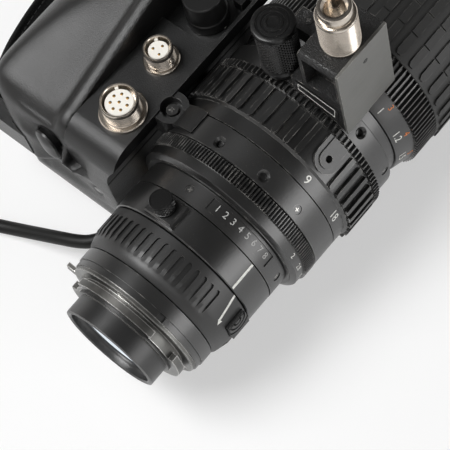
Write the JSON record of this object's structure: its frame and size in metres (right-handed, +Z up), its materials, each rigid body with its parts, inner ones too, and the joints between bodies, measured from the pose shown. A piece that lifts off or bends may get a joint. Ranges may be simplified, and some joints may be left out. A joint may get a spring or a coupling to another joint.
{
  "type": "broadcast zoom lens",
  "caption": "Broadcast zoom lens with ribbed focus, zoom and iris rings, a handgrip drive unit with remote sockets, a flexible focus drive module, hand strap and camera cable.",
  "frame": {"origin": "centre of the bayonet flange face, on the optical axis", "axes": "+Y along the optical axis towards the front element; +Z up, the side of the remote sockets as the lens lies; +X right seen from the camera end"},
  "size_m": [0.1842, 0.3102, 0.1495],
  "materials": {
    "barrel_black": "satin black anodised aluminium",
    "ring_black": "satin black anodised aluminium, edges worn",
    "number_black": "matt black, engraved figures",
    "shell_plastic": "fine-textured black moulding",
    "case_plastic": "smooth matt black moulding",
    "crackle_black": "black crackle paint",
    "plate_grey": "matt dark grey paint",
    "grip_rubber": "black moulded rubber",
    "bright_steel": "turned bright metal",
    "socket_chrome": "bright nickel plate",
    "socket_face": "pale insulator",
    "gear_brass": "cut brass",
    "motor_metal": "plain grey metal",
    "clear_glass": "coated optical glass",
    "cell_black": "matt black anodised",
    "strap_leather": "black leather",
    "cable_rubber": "matt black rubber sheath",
    "control_black": "semi-gloss black plastic"
  },
  "bodies": {
    "lens_body": {"rear_tube": "barrel_black", "bayonet_mount": "bright_steel", "bayonet_screws": "bright_steel", "rear_barrel": "barrel_black", "number_ring": "number_black", "body_screws": "cell_black", "main_barrel": "barrel_black", "front_barrel": "barrel_black", "front_rim": "barrel_black", "rear_element": "clear_glass", "relay_cell": "cell_black", "relay_lens": "clear_glass", "iris_plate": "cell_black", "iris_blades": "cell_black", "front_element": "clear_glass", "drive_case": "case_plastic", "palm_shell": "shell_plastic", "zoom_motor": "motor_metal", "iris_motor": "motor_metal", "rocker_pin": "bright_steel", "large_socket": "socket_chrome", "small_socket": "socket_chrome", "socket_inserts": "socket_face", "lug_screw": "cell_black", "hand_strap": "strap_leather", "strap_anchors": "case_plastic", "cable_gland": "cable_rubber", "camera_cable": "cable_rubber", "camera_plug": "bright_steel", "module_housing": "crackle_black", "module_cover": "plate_grey", "flex_socket": "socket_chrome"},
    "macro_ring": {"macro_ring": "ring_black"},
    "macro_button": {"macro_button": "control_black"},
    "back_focus_ring": {"back_focus_ring": "ring_black"},
    "back_focus_screw": {"back_focus_screw": "ring_black"},
    "iris_ring": {"iris_ring": "ring_black"},
    "zoom_ring": {"zoom_ring": "ring_black"},
    "focus_ring": {"focus_ring": "ring_black", "focus_grip": "grip_rubber"},
    "variator": {"variator_cell": "cell_black", "variator_lens": "clear_glass"},
    "compensator": {"compensator_cell": "cell_black", "compensator_lens": "clear_glass"},
    "focus_group": {"focus_cell": "cell_black", "focus_lens": "clear_glass"},
    "zoom_pinion": {"zoom_pinion": "gear_brass"},
    "iris_pinion": {"iris_pinion": "gear_brass"},
    "flex_pinion": {"flex_pinion": "gear_brass"},
    "flex_shaft": {"flex_shaft": "bright_steel"},
    "record_button": {"record_button": "control_black"},
    "zoom_rocker": {"zoom_rocker": "control_black"},
    "return_button": {"return_button": "control_black"},
    "iris_button": {"iris_button": "control_black"},
    "iris_switch": {"iris_switch": "control_black"},
    "mode_selector": {"mode_selector": "control_black"},
    "tray_switch": {"tray_switch": "control_black"},
    "clamp_knob": {"clamp_knob": "ring_black", "clamp_stud": "bright_steel"}
  },
  "joints": [
    {"name": "macro_turn", "type": "hinge", "parent": "lens_body", "child": "macro_ring", "pos_m": [0, 0.0208, 0], "axis": [0, 1, 0], "range_deg": [0, 40]},
    {"name": "macro_button_press", "type": "slide", "parent": "macro_ring", "child": "macro_button", "axis": [-0.9994, 0, -0.0349], "range_m": [0, 0.0012], "stiffness_N_per_m": 600},
    {"name": "back_focus_turn", "type": "hinge", "parent": "lens_body", "child": "back_focus_ring", "pos_m": [0, 0.0377, 0], "axis": [0, 1, 0], "range_deg": [-15, 15]},
    {"name": "back_focus_screw_turn", "type": "hinge", "parent": "back_focus_ring", "child": "back_focus_screw", "pos_m": [-0.00557, 0.0374, 0.03961], "axis": [-0.1392, 0, 0.9903], "range_deg": [0, 300]},
    {"name": "iris_turn", "type": "hinge", "parent": "lens_body", "child": "iris_ring", "pos_m": [0, 0.0607, 0], "axis": [0, 1, 0], "range_deg": [-20, 40]},
    {"name": "zoom_turn", "type": "hinge", "parent": "lens_body", "child": "zoom_ring", "pos_m": [0, 0.093, 0], "axis": [0, 1, 0], "range_deg": [-40, 50]},
    {"name": "focus_turn", "type": "hinge", "parent": "lens_body", "child": "focus_ring", "pos_m": [0, 0.153, 0], "axis": [0, 1, 0], "range_deg": [-40, 70]},
    {"name": "variator_slide", "type": "slide", "parent": "lens_body", "child": "variator", "axis": [0, 1, 0], "range_m": [-0.0145, 0.018]},
    {"name": "compensator_slide", "type": "slide", "parent": "lens_body", "child": "compensator", "axis": [0, 1, 0], "range_m": [-0.0036, 0.0045]},
    {"name": "focus_group_slide", "type": "slide", "parent": "lens_body", "child": "focus_group", "axis": [0, 1, 0], "range_m": [-0.0043, 0.0074]},
    {"name": "zoom_pinion_spin", "type": "hinge", "parent": "lens_body", "child": "zoom_pinion", "pos_m": [-0.05022, 0.104, -0.00617], "axis": [0, 1, 0], "range_deg": [-302, 242]},
    {"name": "iris_pinion_spin", "type": "hinge", "parent": "lens_body", "child": "iris_pinion", "pos_m": [-0.04278, 0.064, -0.02275], "axis": [0, 1, 0], "range_deg": [-237, 119]},
    {"name": "flex_pinion_spin", "type": "hinge", "parent": "lens_body", "child": "flex_pinion", "pos_m": [0.0222, 0.125, 0.04636], "axis": [0, 1, 0], "range_deg": [-430, 246]},
    {"name": "flex_shaft_spin", "type": "hinge", "parent": "lens_body", "child": "flex_shaft", "pos_m": [0.0222, 0.121, 0.07], "axis": [0, 0, 1], "range_deg": [-430, 246]},
    {"name": "record_button_press", "type": "slide", "parent": "lens_body", "child": "record_button", "axis": [0.0922, 0.9957, 0], "range_m": [0, 0.0015], "stiffness_N_per_m": 500},
    {"name": "zoom_rocker_tilt", "type": "hinge", "parent": "lens_body", "child": "zoom_rocker", "pos_m": [-0.08, 0.115, -0.035], "axis": [1, 0, 0], "range_deg": [-8, 8], "stiffness_Nm_per_rad": 0.25},
    {"name": "return_button_press", "type": "slide", "parent": "lens_body", "child": "return_button", "axis": [0, 0, 1], "range_m": [0, 0.0015], "stiffness_N_per_m": 500},
    {"name": "iris_button_press", "type": "slide", "parent": "lens_body", "child": "iris_button", "axis": [0, 0, 1], "range_m": [0, 0.0015], "stiffness_N_per_m": 500},
    {"name": "iris_switch_slide", "type": "slide", "parent": "lens_body", "child": "iris_switch", "axis": [0, 1, 0], "range_m": [-0.005, 0.005]},
    {"name": "mode_selector_turn", "type": "hinge", "parent": "lens_body", "child": "mode_selector", "pos_m": [-0.052, 0.117, 0.035], "axis": [0, 0, 1], "range_deg": [-45, 45]},
    {"name": "tray_switch_slide", "type": "slide", "parent": "lens_body", "child": "tray_switch", "axis": [0, 1, 0], "range_m": [-0.002, 0.002]},
    {"name": "clamp_knob_turn", "type": "hinge", "parent": "lens_body", "child": "clamp_knob", "pos_m": [-0.0055, 0.113, 0.06], "axis": [0, 0, 1], "range_deg": [0, 360]}
  ],
  "couplings": [
    {"joint": "zoom_pinion_spin", "follows": "zoom_turn", "ratio": -6},
    {"joint": "iris_pinion_spin", "follows": "iris_turn", "ratio": -5.8929},
    {"joint": "flex_pinion_spin", "follows": "focus_turn", "ratio": -6.1111},
    {"joint": "flex_shaft_spin", "follows": "focus_turn", "ratio": -6.1111},
    {"joint": "variator_slide", "follows": "zoom_turn", "m_per_rad": 0.02},
    {"joint": "compensator_slide", "follows": "zoom_turn", "m_per_rad": 0.005},
    {"joint": "focus_group_slide", "follows": "focus_turn", "m_per_rad": 0.006}
  ]
}
